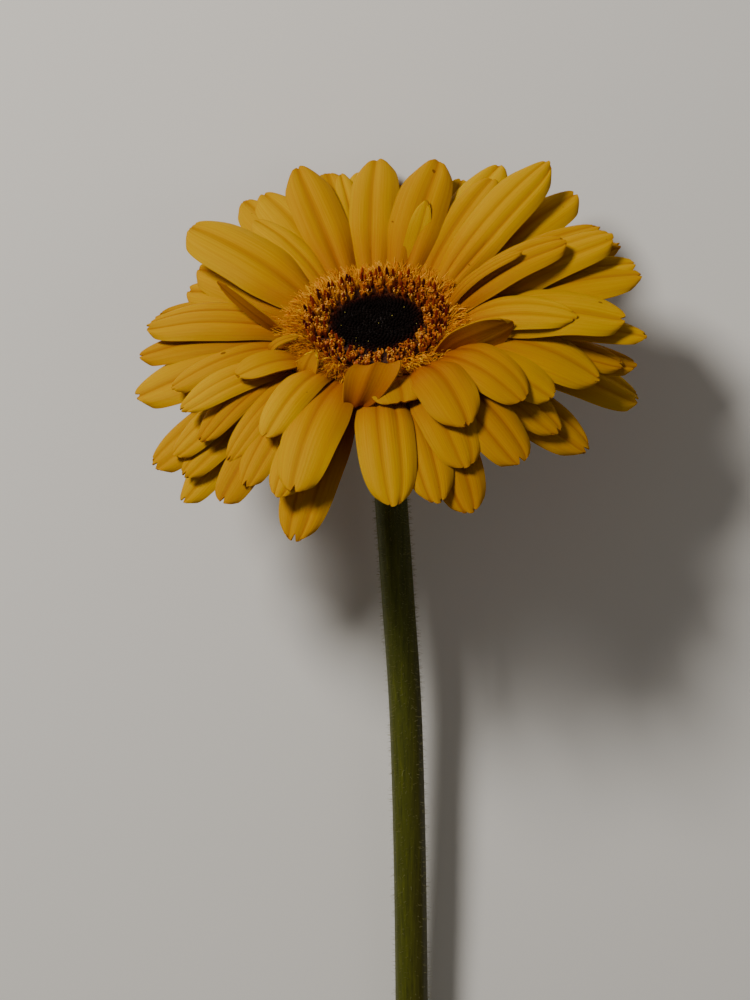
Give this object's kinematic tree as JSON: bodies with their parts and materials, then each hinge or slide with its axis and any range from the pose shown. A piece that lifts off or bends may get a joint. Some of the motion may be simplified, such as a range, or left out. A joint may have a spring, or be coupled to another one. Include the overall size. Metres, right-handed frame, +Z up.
{
  "type": "gerbera daisy cut flower",
  "caption": "Yellow gerbera daisy cut flower lying on its side, with layered ray florets round a dark eye, a green involucre and a bare stem",
  "frame": {"origin": "centre of the flower's footprint, on the surface it lies on", "axes": "+Z up from the surface, +Y along the flower from the cut end towards the head, +X across it"},
  "size_m": [0.1023, 0.2755, 0.067],
  "materials": {
    "golden_petal": "satin golden yellow petal with fine lengthwise veins, duller underneath",
    "orange_floret": "soft golden orange inner floret",
    "maroon_floret": "open disc floret, orange lobes with a maroon middle",
    "dark_bud": "matt, near black closed bud",
    "bract_green": "downy green bract",
    "scape_green": "satin olive green stem with short pale hairs"
  },
  "bodies": {
    "root": {"ray_florets": "golden_petal", "inner_florets": "orange_floret", "disc_florets": "maroon_floret", "disc_eye": "dark_bud", "involucre": "bract_green", "scape": "scape_green"}
  },
  "joints": []
}
